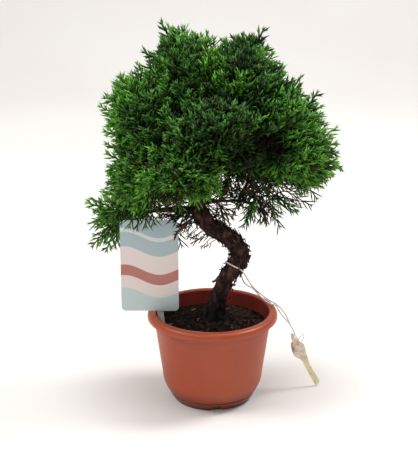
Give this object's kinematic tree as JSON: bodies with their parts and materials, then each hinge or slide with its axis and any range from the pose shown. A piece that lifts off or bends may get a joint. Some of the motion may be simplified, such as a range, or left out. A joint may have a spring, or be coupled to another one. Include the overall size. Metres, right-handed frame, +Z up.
{
  "type": "juniper bonsai in a pot",
  "caption": "Small juniper bonsai with an S-bent trunk and a dense irregular crown, standing in a terracotta-coloured plastic pot with a plain label card and a tied hang tag.",
  "frame": {"origin": "centre of the pot's flat underside", "axes": "+Z up, +X to the right and +Y to the back as seen from the side with the label card"},
  "size_m": [0.2307, 0.1807, 0.3471],
  "materials": {
    "terracotta_plastic": "satin",
    "potting_soil": "matte",
    "bark": "matte",
    "juniper_foliage": "matte",
    "label_card": "satin",
    "white_plastic": "satin",
    "string": "matte",
    "tag_paper": "matte"
  },
  "bodies": {
    "root": {"pot": "terracotta_plastic", "soil": "potting_soil", "trunk": "bark", "bough_apex_left": "bark", "bough_apex_right": "bark", "bough_left_upper": "bark", "bough_right_upper": "bark", "bough_front_upper": "bark", "bough_back_upper": "bark", "bough_left_mid": "bark", "bough_right_end": "bark", "bough_front_left": "bark", "bough_back_left": "bark", "bough_back_right": "bark", "bough_low_left": "bark", "bough_low_right": "bark", "foliage_apex_left": "juniper_foliage", "foliage_apex_right": "juniper_foliage", "foliage_left_upper": "juniper_foliage", "foliage_right_upper": "juniper_foliage", "foliage_front_upper": "juniper_foliage", "foliage_back_upper": "juniper_foliage", "foliage_left_mid": "juniper_foliage", "foliage_right_end": "juniper_foliage", "foliage_front_left": "juniper_foliage", "foliage_back_left": "juniper_foliage", "foliage_back_right": "juniper_foliage", "foliage_low_left": "juniper_foliage", "foliage_low_right": "juniper_foliage", "label_card": "label_card", "label_stem": "white_plastic", "tag_string": "string", "hang_tag": "tag_paper"}
  },
  "joints": []
}
